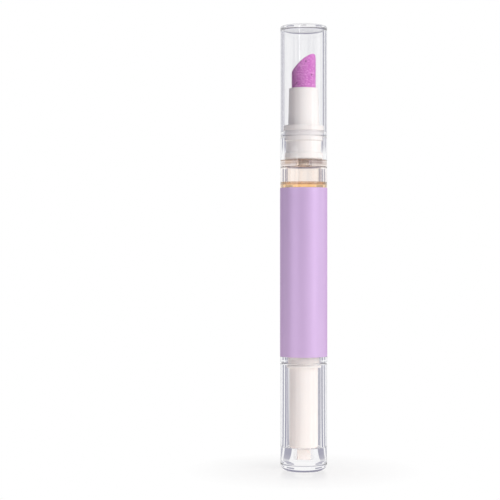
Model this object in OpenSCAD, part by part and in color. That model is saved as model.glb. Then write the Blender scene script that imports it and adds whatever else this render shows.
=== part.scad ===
// Twist-up nail oil pen: a clear barrel with a turning knob at its foot, a slanted foam tip
// on a white holder at its top, and a clear cap that pulls off.
// Turning the knob turns a threaded core. It drives a flat-sided screw rod and its piston up
// the bore, so that oil is pressed through the holder into the foam.
// The origin is the centre of the knob's base. +Z runs up the pen. Sizes are millimetres.

/* [Outside] */
// Outer diameter of the knob, the barrel and the cap
body_d = 14.1; // [13.6:0.1:18]
// Length of the clear knob
knob_len = 32.4; // [26:0.1:42]
// Length of the barrel from its foot to the shoulder that the cap meets
barrel_len = 67.8; // [62:0.1:90]
// Length of the clear cap
cap_len = 33.2; // [27:0.1:45]
// Gap between the knob and the barrel
knob_gap = 0.2; // [0.1:0.05:0.4]
// Gap between the cap's mouth and the barrel's shoulder
cap_gap = 0.2; // [0.1:0.05:0.4]

/* [Colour sleeve] */
// Height of the sleeve around the barrel
sleeve_len = 50.7; // [30:0.1:60]
// Bare ring of the barrel under the sleeve
foot_ring_h = 1.8; // [1:0.1:4]
// Thickness of the sleeve
sleeve_t = 0.12; // [0.08:0.01:0.2]

/* [Knob] */
// Wall of the clear knob
knob_wall = 1.75; // [1.2:0.05:2]
// Solid clear base under the knob's bore
knob_floor = 7; // [5:0.1:9]
// Rounding around the knob's base
base_round = 2.2; // [0.5:0.1:3]
// Rounding of the knob's top edge and of the barrel's foot
edge_round = 0.4; // [0.2:0.05:0.6]

/* [Barrel] */
// Wall of the barrel around the oil
barrel_wall = 1.65; // [1.2:0.05:1.9]
// Height of the thin neck that the cap slides over
neck_len = 1.8; // [1.4:0.1:3]
// Wall of the neck
neck_wall = 0.25; // [0.2:0.01:0.4]
// Depth of the socket that the tip holder is pressed into
socket_depth = 8.8; // [7:0.1:11]
// Thickness of the web that closes the oil chamber
web_t = 1.8; // [1.2:0.1:2.5]
// Diameter of the hole through the web
web_hole_d = 3.2; // [2.6:0.1:4]
// Width of the sloped roof at the top of the oil chamber
roof_w = 0.7; // [0.3:0.05:1]
// Height of the sloped roof
roof_h = 1.5; // [0.6:0.1:2]

/* [Cap] */
// Wall of the cap
cap_wall = 0.85; // [0.6:0.05:1]
// Thickness of the cap's top
cap_top_t = 1.2; // [1:0.1:2.5]
// Height of the band at the cap's mouth
cap_band_h = 1.2; // [0.8:0.1:2]
// Width and depth of the fine groove above that band
cap_groove = 0.1; // [0.05:0.01:0.2]

/* [Tip] */
// Diameter of the foam tip
foam_d = 7.3; // [6:0.1:8]
// Height of the foam above its tube on the low side
foam_low = 5; // [3:0.1:8]
// Height of the foam above its tube at the point
foam_high = 10.3; // [9:0.1:13]
// Depth of the foam inside the holder
foam_depth = 8.5; // [5:0.1:10]
// Height of the holder's tapered tube above its flange
tube_len = 11.3; // [9:0.1:14]
// Wall at the mouth of that tube
tube_rim = 0.75; // [0.5:0.05:0.9]
// How much wider the tube is at its foot, in radius
tube_taper = 0.25; // [0.1:0.01:0.6]
// Height of the holder's flange
flange_h = 1.6; // [1:0.1:2.5]
// Diameter of the channel that feeds the foam
feed_d = 1.4; // [1:0.1:2]

/* [Screw drive] */
// Rise of the rod for one turn of the knob
lead = 3; // [2.4:0.1:4]
// Diameter of the rod over its threads
rod_d = 4.2; // [3.4:0.1:4.4]
// Depth of the rod's threads
thread_depth = 0.5; // [0.35:0.01:0.6]
// Thickness of the rod across its two flats
rod_flat = 2.6; // [2.2:0.1:2.9]
// Length of thread inside the core
nut_len = 6; // [4.5:0.1:7.5]
// Thickness of the core's closed end
core_floor = 1; // [0.6:0.1:2]
// Gap between the core and the knob's bore
core_side_gap = 0.95; // [0.6:0.05:1.1]
// Bare rod between its guide and the piston
rod_out = 8.8; // [2:0.1:12]
// Height of the piston
piston_h = 8; // [6:0.1:10]
// Height of each of the piston's two lips
lip_h = 1.2; // [0.8:0.1:1.6]
// Room left above the piston when it has risen all the way
dead_h = 7.6; // [6:0.1:12]
// Air between the oil and the web
air_h = 5.6; // [3:0.1:6.5]
// Number of clicks in a turn
clicks = 12; // [8:1:16]

/* [Hidden] */
$fn = 96;

// Overrun of a cutting shape past the face that it opens
over = 0.5;
// Gap between pieces that are pressed or bonded together
seat_fit = 0.02;
// Gap around pieces that turn or slide in each other
run_fit = 0.07;
// Gap between end faces that pass each other
end_gap = 0.2;
// Gap around the piston's lips
piston_fit = 0.04;
// Gap between the cap and the neck
cap_fit = 0.15;
// Gap between the oil and the pieces around it
oil_fit = 0.02;

// Radii, from the outside in
body_r = body_d / 2;
sleeve_sink = 0.05;
panel_r = body_r - sleeve_sink;
sleeve_r = panel_r + seat_fit + sleeve_t;
knob_bore_r = body_r - knob_wall;
bore_r = body_r - barrel_wall;
cap_bore_r = body_r - cap_wall;
neck_r = cap_bore_r - cap_fit;
neck_bead = 0.1;
neck_bead_h = 0.5;
socket_r = neck_r - neck_wall;
web_hole_r = web_hole_d / 2;

// Gate recess under the knob's base, and the lead-in at the knob's mouth
gate_r = 1.3;
gate_depth = 0.4;
knob_lead_in = 0.25;

// Heights, from the knob up
barrel_z = knob_len + knob_gap;
sleeve_z = barrel_z + foot_ring_h;
shoulder_z = barrel_z + barrel_len;
mouth_z = shoulder_z + neck_len;
socket_z = mouth_z - socket_depth;
roof_z = socket_z - web_t;
cap_z = shoulder_z + cap_gap;
cap_top_z = cap_z + cap_len;
cap_round = 0.5;

// Tip holder and foam
foam_r = foam_d / 2;
tube_r = foam_r + seat_fit + tube_rim;
tube_foot_r = tube_r + tube_taper;
tube_z = mouth_z + flange_h;
tube_top_z = tube_z + tube_len;
tube_round = 0.3;
flange_fit = 0.1;
flange_r = cap_bore_r - flange_fit;
flange_round = 0.2;
foam_z = tube_top_z - foam_depth;
foam_point_share = 0.73;
foam_corner_share = 0.137;
foam_bulge_share = 0.155;
foam_steps = 12;
corner_steps = 6;
plug_r = socket_r - seat_fit;
plug_z = socket_z + end_gap;
plug_bead_h = 1.8;
plug_land_h = 2.9;
plug_waist = 0.45;
plug_lead_in = 0.3;
plug_wall = 1.2;
foam_floor = 1.2;
nozzle_r = web_hole_r - run_fit;
nozzle_len = 1.9;
feed_r = feed_d / 2;

// Threads, with two starts
starts = 2;
pitch = lead / starts;
rod_r = rod_d / 2;
rod_root_r = rod_r - thread_depth;
flat_half = rod_flat / 2;
thread_fit = 0.1;
nut_r = rod_r + thread_fit;
nut_tip_r = rod_root_r + thread_fit;
thread_sink = 0.15;
tooth_inset = 0.04;
tip_share = 0.33;
root_share = 0.58;
tooth_steps = 6;
turn_steps = 18;

// Core: a body in the knob, a collar at its mouth, a journal in the guide, a hub above it
core_r = knob_bore_r - core_side_gap;
core_z = knob_floor;
core_round = 0.6;
collar_h = 0.6;
journal_step = 0.32;
journal_r = core_r - journal_step;
journal_h = 4.4;
bead_rise = 0.14;
bead_h = 0.8;
hub_wall = 0.8;
hub_flat_wall = 0.45;
hub_r = nut_r + hub_wall;
hub_flat = nut_r + hub_flat_wall;
hub_h = 3.6;
stop_side_gap = 0.2;
stop_rise = 0.35;
stop_r = rod_r + stop_rise;
core_bore_r = stop_r + stop_side_gap;
key_r = 2.1;
key_flat = 1.6;
key_len = 3.4;

// Guide: a skirt round the journal, a cup with click teeth, a deck with the flat-sided hole
skirt_drop = 0.6;
skirt_wall = 0.63;
guide_bore_r = journal_r + run_fit;
skirt_r = guide_bore_r + skirt_wall;
skirt_z = barrel_z - skirt_drop;
guide_r = bore_r - seat_fit;
guide_bead = 0.12;
guide_bead_h = 0.9;
guide_chamfer = 0.4;
deck_t = 3;
tooth_rise = 0.33;
tooth_tip_r = guide_bore_r + run_fit;
tooth_root_r = tooth_tip_r + tooth_rise;
ramp_steps = 3;

// Heights of the drive
collar_top_z = skirt_z - end_gap;
journal_top_z = collar_top_z + journal_h;
hub_top_z = journal_top_z + hub_h;
nut_z = hub_top_z - nut_len;
deck_z = hub_top_z + 2 * end_gap;
guide_top_z = deck_z + deck_t;
bead_z = (skirt_z + journal_top_z) / 2;

// Click ring
ring_h = 2.6;
ring_wall = 0.4;
ring_r = hub_r + seat_fit + ring_wall;
pawl_t = 0.35;
pawl_turn = 130;
pawl_steps = 10;
pawl_r = tooth_tip_r - run_fit;

// Rod and piston
rod_gap = 0.6;
rod_z = core_z + core_floor + rod_gap;
stop_h = 1;
piston_z = guide_top_z + rod_out;
piston_top_z = piston_z + piston_h;
travel = min(nut_z - end_gap - stop_h - rod_z, roof_z - dead_h - piston_top_z);
rod_lead_in = 1;
head_neck_r = 1.2;
head_r = 1.6;
head_neck_h = 2.2;
head_h = 1.2;
head_tip_h = 0.9;
piston_r = bore_r - piston_fit;
piston_waist = 0.6;
crown_w = 0.75;
crown_h = 0.8;
lip_flare_share = 0.5;
boss_wall = 0.9;
skirt_cut_wall = 0.8;
skirt_cut_share = 0.6;

// Oil
oil_r = bore_r - oil_fit;
oil_top_z = roof_z - air_h;
meniscus_h = 0.9;
meniscus_w = 1.5;

echo(travel = travel, turns = travel / lead);

// Height of a left-hand thread at an angle, and its angle at a height
function helix(angle) = -lead * angle / 360;
function helix_angle(z) = -360 * z / lead;

// A point of a profile ring, at a radius, an angle and a height
function on_ring(r, angle, z) = [r * cos(angle), r * sin(angle), z];

// Faces of a solid swept through count sections of four points each
function sweep_faces(count) = concat(
    [[0, 1, 2, 3]],
    [for (i = [0 : count - 2], k = [0 : 3])
        let (a = 4 * i + k, b = 4 * i + (k + 1) % 4) [a, a + 4, b + 4, b]],
    [[for (k = [3 : -1 : 0]) 4 * (count - 1) + k]]);

// Solid of revolution from a flat profile of radius and height
module turned(points) {
    rotate_extrude() polygon(points);
}

// Tube between two radii and two heights
module tube(r_out, r_in, z_low, z_high) {
    translate([0, 0, z_low]) difference() {
        cylinder(h = z_high - z_low, r = r_out);
        translate([0, 0, -over]) cylinder(h = z_high - z_low + 2 * over, r = r_in);
    }
}

// What rounding an outer edge takes off a profile, at the edge's radius and height
module edge_cut(r, z, fillet, up = 1) {
    translate([r - fillet, z - up * fillet]) difference() {
        translate([0, up > 0 ? 0 : -fillet - over]) square([fillet + over, fillet + over]);
        circle(fillet);
    }
}

// Disc with two flats, as a flat shape
module double_d(r, half) {
    intersection() {
        circle(r);
        translate([-r - over, -half]) square([2 * (r + over), 2 * half]);
    }
}

// One tooth of the rod's thread, on the +X side, between the two flats
module rod_tooth(z) {
    half = flat_half - tooth_inset;
    inner_r = rod_root_r - thread_sink;
    points = [for (i = [0 : tooth_steps], k = [0 : 3])
        let (y = half - 2 * half * i / tooth_steps,
             outer = k == 1 || k == 2,
             r = outer ? rod_r : inner_r,
             x = sqrt(r * r - y * y),
             w = (outer ? tip_share : root_share) * pitch / 2)
        [x, y, z + helix(atan2(y, x)) + (k < 2 ? -w : w)]];
    polyhedron(points, sweep_faces(tooth_steps + 1), convexity = 4);
}

// One start of the thread inside the core, whose middle crosses angle zero at a height
module nut_ridge(cross_z) {
    margin = root_share * pitch / 2;
    z_low = nut_z + margin;
    z_high = hub_top_z - margin;
    count = ceil((z_high - z_low) / lead * turn_steps);
    points = [for (i = [0 : count], k = [0 : 3])
        let (z = z_low + (z_high - z_low) * i / count,
             outer = k == 1 || k == 2,
             r = outer ? nut_r + thread_sink : nut_tip_r,
             w = (outer ? root_share : tip_share) * pitch / 2)
        on_ring(r, helix_angle(z - cross_z), z + (k < 2 ? -w : w))];
    polyhedron(points, sweep_faces(count + 1), convexity = 8);
}

// Clear knob with a thick base, a deep bore, the key pocket under it and a gate recess
module knob() {
    color("#E4E2E8", 0.5) difference() {
        rotate_extrude() difference() {
            square([body_r, knob_len]);
            edge_cut(body_r, 0, base_round, -1);
            edge_cut(body_r, knob_len, edge_round);
            translate([0, -over]) square([gate_r, over + gate_depth]);
            polygon([[0, knob_floor], [knob_bore_r, knob_floor],
                     [knob_bore_r, knob_len - knob_lead_in],
                     [knob_bore_r + knob_lead_in, knob_len],
                     [knob_bore_r + knob_lead_in, knob_len + over], [0, knob_len + over]]);
        }
        translate([0, 0, core_z - key_len - seat_fit]) linear_extrude(knob_len)
            double_d(key_r + seat_fit, key_flat + seat_fit);
    }
}

// White core that the knob carries round, with the inside thread at its top
module drive_core() {
    color("#F1EDEA") {
        difference() {
            union() {
                rotate_extrude() difference() {
                    translate([0, core_z]) square([core_r, collar_top_z - core_z]);
                    edge_cut(core_r, core_z, core_round, -1);
                }
                translate([0, 0, collar_top_z - collar_h])
                    cylinder(h = collar_h, r = knob_bore_r - seat_fit);
                translate([0, 0, collar_top_z - over])
                    cylinder(h = journal_h + over, r = journal_r);
                turned([[0, bead_z - bead_h], [journal_r, bead_z - bead_h],
                        [journal_r + bead_rise, bead_z - bead_h / 4],
                        [journal_r + bead_rise, bead_z + bead_h / 4],
                        [journal_r, bead_z + bead_h], [0, bead_z + bead_h]]);
                translate([0, 0, journal_top_z - over])
                    linear_extrude(hub_h + over) double_d(hub_r, hub_flat);
                translate([0, 0, core_z - key_len])
                    linear_extrude(key_len + over) double_d(key_r, key_flat);
            }
            translate([0, 0, core_z + core_floor])
                cylinder(h = nut_z - core_z - core_floor, r = core_bore_r);
            translate([0, 0, nut_z - over]) cylinder(h = nut_len + 2 * over, r = nut_r);
        }
        for (k = [0 : starts - 1]) nut_ridge((k + 1 / 2) * pitch);
    }
}

// Ring with two spring pawls, keyed to the core's hub
module click_ring() {
    color("#D9D5DA") translate([0, 0, journal_top_z + seat_fit]) linear_extrude(ring_h)
        difference() {
            union() {
                circle(ring_r);
                for (side = [0, 180]) rotate(side) pawl();
            }
            double_d(hub_r + seat_fit, hub_flat + seat_fit);
        }
}

// One pawl, an arm that winds out from the ring to the click teeth
module pawl() {
    arc = [for (i = [0 : pawl_steps])
        let (t = i / pawl_steps) [ring_r + (pawl_r - ring_r) * t, pawl_turn * t]];
    polygon(concat(
        [for (p = arc) [p[0] * cos(p[1]), p[0] * sin(p[1])]],
        [for (i = [pawl_steps : -1 : 0])
            let (r = arc[i][0] - pawl_t, a = arc[i][1]) [r * cos(a), r * sin(a)]]));
}

// Ramps and steps of the click teeth inside the guide's cup, as a flat shape
module click_teeth() {
    step = 360 / clicks;
    polygon([for (k = [0 : clicks - 1], i = [0 : ramp_steps])
        let (t = i / ramp_steps, a = (k + t) * step,
             r = tooth_tip_r + (tooth_root_r - tooth_tip_r) * t)
        [r * cos(a), r * sin(a)]]);
}

// White guide fixed in the barrel's foot, whose hole stops the rod from turning
module rod_guide() {
    color("#F1EDEA") difference() {
        union() {
            tube(skirt_r, guide_bore_r, skirt_z, sleeve_z + over);
            turned([[guide_bore_r, sleeve_z], [guide_r - guide_chamfer, sleeve_z],
                    [guide_r, sleeve_z + guide_chamfer], [guide_r, guide_bead_z() - guide_bead_h / 2],
                    [guide_r + guide_bead, guide_bead_z()],
                    [guide_r, guide_bead_z() + guide_bead_h / 2],
                    [guide_r, guide_top_z - guide_chamfer],
                    [guide_r - guide_chamfer, guide_top_z], [0, guide_top_z],
                    [0, deck_z], [guide_bore_r, deck_z]]);
        }
        turned([[0, bead_z - bead_h - end_gap], [guide_bore_r, bead_z - bead_h - end_gap],
                [guide_bore_r + bead_rise, bead_z - bead_h / 2],
                [guide_bore_r + bead_rise, bead_z + bead_h / 2],
                [guide_bore_r, bead_z + bead_h + end_gap], [0, bead_z + bead_h + end_gap]]);
        translate([0, 0, journal_top_z]) linear_extrude(deck_z - journal_top_z) click_teeth();
        translate([0, 0, deck_z - over]) linear_extrude(deck_t + 2 * over)
            double_d(rod_r + run_fit, flat_half + run_fit);
    }
}

// Height of the bead that snaps the guide into the barrel
function guide_bead_z() = guide_top_z - guide_chamfer - guide_bead_h;

// Flat-sided rod with a stop at its foot, thread on both round sides and a barbed head
module screw_rod() {
    low = rod_z + stop_h + rod_lead_in;
    high = piston_z - rod_lead_in;
    color("#E6E1DC") {
        translate([0, 0, rod_z]) cylinder(h = stop_h, r = stop_r);
        translate([0, 0, rod_z + stop_h]) linear_extrude(piston_z - rod_z - stop_h)
            double_d(rod_root_r, flat_half);
        for (side = [0 : 1], n = [ceil(low / pitch) : floor(high / pitch)])
            rotate(180 * side) translate([0, 0, -(side * lead / 2) % pitch])
                rod_tooth(n * pitch);
        rod_head();
    }
}

// Neck and barb that the piston snaps over
module rod_head() {
    neck_top = piston_z + head_neck_h;
    turned([[0, piston_z - over], [head_neck_r, piston_z - over], [head_neck_r, neck_top],
            [head_r, neck_top], [head_r, neck_top + head_h],
            [head_neck_r, neck_top + head_h + head_tip_h], [0, neck_top + head_h + head_tip_h]]);
}

// Soft piston with two flared lips, a sloped crown and a socket for the rod's head
module piston() {
    flare = lip_h * lip_flare_share;
    waist_r = piston_r - piston_waist;
    lip_z = piston_top_z - crown_h;
    boss_r = head_r + seat_fit + boss_wall;
    cut_r = waist_r - skirt_cut_wall;
    neck_top = piston_z + head_neck_h;
    color("#DCD9E2") difference() {
        turned([[0, piston_z], [piston_r, piston_z], [piston_r, piston_z + lip_h - flare],
                [waist_r, piston_z + lip_h], [waist_r, lip_z - lip_h],
                [piston_r, lip_z - lip_h + flare], [piston_r, lip_z],
                [piston_r - crown_w, piston_top_z], [0, piston_top_z]]);
        tube(cut_r, boss_r, piston_z - over, piston_z + piston_h * skirt_cut_share);
        turned([[0, piston_z - over], [head_neck_r + seat_fit, piston_z - over],
                [head_neck_r + seat_fit, neck_top - seat_fit],
                [head_r + seat_fit, neck_top - seat_fit],
                [head_r + seat_fit, neck_top + head_h + seat_fit],
                [head_neck_r, neck_top + head_h + head_tip_h + end_gap],
                [0, neck_top + head_h + head_tip_h + end_gap]]);
    }
}

// Oil between the piston's crown and the air under the web, curling up at the wall
module oil() {
    foot = piston_top_z + oil_fit;
    color("#E0A860", 0.8) rotate_extrude() difference() {
        polygon([[0, foot], [oil_r - crown_w, foot], [oil_r, foot - crown_h],
                 [oil_r, oil_top_z + meniscus_h], [0, oil_top_z + meniscus_h]]);
        translate([oil_r - meniscus_w, oil_top_z + meniscus_w]) circle(meniscus_w);
        translate([-over, oil_top_z])
            square([over + oil_r - meniscus_w, meniscus_w]);
    }
}

// Clear barrel: open foot, oil chamber, web with its hole, socket and thin neck
module barrel() {
    groove_z = guide_bead_z();
    groove_r = bore_r + guide_bead;
    color("#E4E2E8", 0.5) rotate_extrude() difference() {
        union() {
            translate([0, barrel_z]) square([panel_r, barrel_len]);
            translate([0, barrel_z]) square([sleeve_r, foot_ring_h - seat_fit]);
            translate([0, sleeve_z + sleeve_len + seat_fit])
                square([body_r, shoulder_z - sleeve_z - sleeve_len - seat_fit]);
            translate([0, barrel_z]) square([neck_r, mouth_z - barrel_z]);
            translate([0, mouth_z - neck_bead_h - neck_bead])
                square([neck_r + neck_bead, neck_bead_h]);
        }
        edge_cut(sleeve_r, barrel_z, edge_round, -1);
        edge_cut(body_r, shoulder_z, edge_round / 2);
        polygon([[0, barrel_z - over], [bore_r, barrel_z - over],
                 [bore_r, groove_z - guide_bead_h / 2 - seat_fit], [groove_r, groove_z - seat_fit],
                 [groove_r, groove_z + seat_fit], [bore_r, groove_z + guide_bead_h / 2 + seat_fit],
                 [bore_r, roof_z - roof_h], [bore_r - roof_w, roof_z], [0, roof_z]]);
        translate([0, roof_z - over]) square([web_hole_r, web_t + 2 * over]);
        translate([0, socket_z]) square([socket_r, socket_depth + over]);
    }
}

// Thin coloured sleeve bonded round the barrel
module colour_sleeve() {
    color("#CBB2DC") tube(sleeve_r, panel_r + seat_fit, sleeve_z, sleeve_z + sleeve_len);
}

// White holder: nozzle in the web, sealing bead, waist and land in the socket, flange and tube
module tip_holder() {
    bead_top = plug_z + plug_bead_h;
    land_low = mouth_z - plug_land_h;
    color("#F1EDEA") difference() {
        union() {
            turned([[0, plug_z], [plug_r - plug_lead_in, plug_z], [plug_r, plug_z + plug_lead_in],
                    [plug_r, bead_top], [plug_r - plug_waist, bead_top + plug_lead_in],
                    [plug_r - plug_waist, land_low - plug_lead_in], [plug_r, land_low],
                    [plug_r, mouth_z + seat_fit], [flange_r, mouth_z + seat_fit],
                    [flange_r, tube_z - flange_round], [flange_r - flange_round, tube_z],
                    [tube_foot_r, tube_z], [tube_r, tube_top_z - tube_round],
                    [tube_r - tube_round, tube_top_z], [0, tube_top_z]]);
            translate([0, 0, plug_z - nozzle_len]) cylinder(h = nozzle_len + over, r = nozzle_r);
        }
        tube(plug_r - plug_waist - plug_wall, nozzle_r, plug_z - over, foam_z - foam_floor);
        translate([0, 0, plug_z - nozzle_len - over])
            cylinder(h = foam_z - plug_z + nozzle_len + 2 * over, r = feed_r);
        translate([0, 0, foam_z - seat_fit])
            cylinder(h = foam_depth + over, r = foam_r + seat_fit);
    }
}

// Outline of the foam's slanted top, from the low side over the point to the high side
function foam_outline() =
    let (low = tube_top_z + foam_low, high = tube_top_z + foam_high,
         rise = foam_high - foam_low,
         point_x = foam_r * foam_point_share, corner = foam_d * foam_corner_share)
    concat(
        [[-foam_r, foam_z]],
        [for (i = [0 : foam_steps])
            let (t = i / foam_steps)
            [-foam_r + (foam_r + point_x) * t,
             low + rise * (t + 4 * foam_bulge_share * t * (1 - t))]],
        [for (i = [1 : corner_steps])
            let (a = 90 * i / corner_steps)
            [point_x + (foam_r - point_x) * sin(a), high - corner * (1 - cos(a))]],
        [[foam_r, foam_z]]);

// Foam tip, cut on the slant and a little crowned
module foam_tip() {
    color("#C878C0") intersection() {
        translate([0, 0, foam_z]) cylinder(h = foam_depth + foam_high + over, r = foam_r);
        rotate([90, 0, 0]) linear_extrude(foam_d + 2 * over, center = true)
            polygon(foam_outline());
    }
}

// Clear cap with a band and a fine groove at its mouth
module cap() {
    color("#E4E2E8", 0.4) rotate_extrude() difference() {
        translate([0, cap_z]) square([body_r, cap_len]);
        edge_cut(body_r, cap_top_z, cap_round);
        edge_cut(body_r, cap_z, edge_round / 2, -1);
        translate([body_r - cap_groove, cap_z + cap_band_h])
            square([cap_groove + over, 2 * cap_groove]);
        translate([0, cap_z - over]) difference() {
            square([cap_bore_r, cap_len - cap_top_t + over]);
            edge_cut(cap_bore_r, cap_len - cap_top_t + over, cap_round);
        }
    }
}

knob();
drive_core();
click_ring();
rod_guide();
screw_rod();
piston();
oil();
barrel();
colour_sleeve();
tip_holder();
foam_tip();
cap();
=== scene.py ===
"""The looks of a twist-up nail oil pen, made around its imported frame.

Clear moulded shells, a satin sleeve, golden oil, white inner pieces and a slanted foam tip are
built as meshes where the solids stand. The file is laid out as an add-on and is run as a script.
"""

import math

import bmesh
import bpy
from bpy.props import FloatProperty, FloatVectorProperty, IntProperty, PointerProperty
from bpy.types import Operator, Panel, PropertyGroup
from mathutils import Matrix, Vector, noise


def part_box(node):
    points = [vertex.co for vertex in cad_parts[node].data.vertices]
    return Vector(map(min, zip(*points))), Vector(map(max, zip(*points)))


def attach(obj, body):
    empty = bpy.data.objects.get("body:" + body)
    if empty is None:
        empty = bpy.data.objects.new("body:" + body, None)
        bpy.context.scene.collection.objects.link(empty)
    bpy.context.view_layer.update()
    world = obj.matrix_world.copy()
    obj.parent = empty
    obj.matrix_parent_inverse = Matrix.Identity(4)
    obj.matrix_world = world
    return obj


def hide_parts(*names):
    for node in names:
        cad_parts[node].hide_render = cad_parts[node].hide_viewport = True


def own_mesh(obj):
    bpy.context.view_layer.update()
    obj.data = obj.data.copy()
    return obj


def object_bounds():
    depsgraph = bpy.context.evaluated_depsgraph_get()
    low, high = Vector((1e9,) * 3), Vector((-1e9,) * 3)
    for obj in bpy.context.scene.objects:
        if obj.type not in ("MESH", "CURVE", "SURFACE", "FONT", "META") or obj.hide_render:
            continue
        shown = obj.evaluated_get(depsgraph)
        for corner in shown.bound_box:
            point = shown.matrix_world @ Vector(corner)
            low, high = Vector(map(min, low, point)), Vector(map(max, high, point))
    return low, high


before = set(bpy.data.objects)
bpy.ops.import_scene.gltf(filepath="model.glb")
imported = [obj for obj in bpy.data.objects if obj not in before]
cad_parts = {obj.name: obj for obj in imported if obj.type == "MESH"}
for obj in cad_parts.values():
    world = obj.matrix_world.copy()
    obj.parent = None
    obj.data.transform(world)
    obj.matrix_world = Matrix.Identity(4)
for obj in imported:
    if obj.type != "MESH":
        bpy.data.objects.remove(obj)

bl_info = {
    "name": "Nail oil pen",
    "version": (1, 0, 0),
    "blender": (4, 5, 0),
    "location": "3D View > Sidebar > Nail Pen",
    "description": "Builds the shells, sleeve, oil, foam tip and finishes of a nail oil pen",
    "category": "Object",
}

MM = 0.001
TURN = 2 * math.pi
CAD_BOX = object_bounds()

# Dark cards that stand around the pen like a studio's, the same on both sides and at all heights:
# where each starts and ends, in degrees from straight behind the pen, and how dark it is. Only
# rays through clear pieces see them, and the walls draw a card's edges as fine lines.
CARDS = ((20, 38, 0.8), (50, 62, 0.85))
# The sines of the heights at which the world shows its cards, behind the air over the oil and
# behind the cap. Each span gives where they come in, are full, start to fade and are gone.
CHAMBER_SPAN = (0.02, 0.03, 0.0545, 0.0552)
CAP_SPAN = (0.0592, 0.065, 0.1475, 0.15)
# Where the dark ceiling comes in, which draws the edges of the cap's top.
CEILING_RISE = (0.23, 0.3)
# Where the floor's cards come in and fade away, measured from the pen, and how grazing a ray has
# to be to see them, from 0 for straight down to 1 for level.
FLOOR_CARDS_RISE = (16 * MM, 26 * MM)
FLOOR_CARDS_FADE = (410 * MM, 440 * MM)
GRAZING_RISE = (0.76, 0.83)
# The same for the far strip of floor that the cap's flat top mirrors.
MIRRORED_FADE = (896 * MM, 902 * MM)
MIRRORED_GRAZING = (0.8445, 0.8455)
# The gap between faces that would lie in one another, too thin to see.
GAP = 0.02 * MM
# How far a face may lie from a height and still be taken to be at it.
NEAR = 0.01 * MM
SHARP_ANGLE = math.radians(35)
MENISCUS_STEPS = 10


def linear(hex_colour, alpha=1.0):
    """A linear colour from an sRGB hex value."""
    values = [int(hex_colour[i:i + 2], 16) / 255 for i in (1, 3, 5)]
    straight = [v / 12.92 if v <= 0.04045 else ((v + 0.055) / 1.055) ** 2.4 for v in values]
    return (*straight, alpha)


def length(name, description, millimetres):
    """A length property, given in millimetres and kept in metres."""
    return FloatProperty(name=name, description=description, default=millimetres * MM, min=0,
                         precision=5, unit="LENGTH")


def colour(name, description, hex_colour):
    """A colour property, given as an sRGB hex value."""
    return FloatVectorProperty(name=name, description=description, default=linear(hex_colour),
                               size=4, min=0, max=1, subtype="COLOR")


def low_and_high(node):
    """Lowest and highest height of a solid of the frame."""
    low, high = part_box(node)
    return low.z, high.z


class PenSizes(PropertyGroup):
    """Sizes of the pieces that stand where the solids of the frame are."""

    body_r: length("Body radius", "Outer radius of the knob, the barrel and the cap", 7.05)
    knob_wall: length("Knob wall", "Wall of the clear knob", 1.75)
    knob_floor: length("Knob floor", "Solid clear base under the knob's bore", 7)
    base_round: length("Base rounding", "Rounding around the knob's base", 2.2)
    edge_round: length("Edge rounding", "Rounding of the knob's mouth and the barrel's foot", 0.4)
    gate_r: length("Gate recess radius", "Radius of the recess under the base", 1.3)
    gate_depth: length("Gate recess depth", "Depth of that recess", 0.4)
    key_r: length("Key pocket radius", "Radius of the pocket under the knob's bore", 2.12)
    key_flat: length("Key pocket flats", "Half width of that pocket across its flats", 1.62)
    key_len: length("Key pocket depth", "Depth of that pocket", 3.42)
    barrel_wall: length("Barrel wall", "Wall of the barrel around the oil", 1.65)
    foot_ring_h: length("Foot ring", "Bare ring of the barrel under the sleeve", 1.78)
    panel_sink: length("Sleeve seat", "How deep the sleeve's seat lies in the barrel", 0.05)
    web_t: length("Web", "Thickness of the web that closes the oil chamber", 1.8)
    web_hole_r: length("Web hole", "Radius of the hole through the web", 1.6)
    roof_w: length("Roof width", "Width of the sloped roof of the oil chamber", 0.3)
    roof_h: length("Roof height", "Height of that sloped roof", 0.4)
    socket_depth: length("Socket depth", "Depth of the socket for the tip holder", 8.8)
    neck_r: length("Neck radius", "Outer radius of the barrel's neck", 6.05)
    neck_wall: length("Neck wall", "Wall of that neck", 0.25)
    neck_len: length("Neck height", "Height of that neck", 1.8)
    neck_bead: length("Neck bead", "How far the neck's bead stands out", 0.1)
    cap_wall: length("Cap wall", "Wall of the cap", 0.85)
    cap_top_t: length("Cap top", "Thickness of the cap's top", 1.2)
    cap_round: length("Cap rounding", "Rounding around the cap's top", 0.5)
    cap_ceiling_round: length("Cap ceiling rounding", "Rounding inside the cap's top", 0.2)
    cap_band_h: length("Cap band", "Height of the band at the cap's mouth", 1.2)
    cap_groove: length("Cap groove", "Depth of the fine groove above that band", 0.1)
    sleeve_lap: length("Sleeve lap", "Step where the sleeve's end lies over its start", 0.04)
    oil_overlap: length("Oil contact", "How far the oil reaches into the wall that it wets", 0.03)
    meniscus_w: length("Meniscus width", "Width of the oil's curl at the wall", 1.5)
    meniscus_h: length("Meniscus height", "How high the oil climbs at the wall", 0.9)
    crown_w: length("Crown width", "Width of the slope on the piston's crown", 0.75)
    crown_h: length("Crown height", "Height of that slope", 0.8)
    foam_r: length("Foam radius", "Radius of the foam tip", 3.65)
    foam_rim: length("Foam rim", "Rounding around the foam's slanted face", 0.35)
    foam_cell: length("Foam cell", "Width of the foam's cells, drawn about twice as coarse", 0.45)
    foam_pore: length("Foam pore", "Radius of the foam's few open pores", 0.3)
    tube_wall: length("Tube wall", "Wall of the holder's tube at its mouth", 0.75)
    tube_taper: length("Tube taper", "How much wider the tube is at its foot", 0.25)
    flange_h: length("Flange height", "Height of the holder's flange", 1.6)
    segments: IntProperty(name="Segments", description="Faces around each turned piece",
                          default=192, min=48, max=384)


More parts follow.
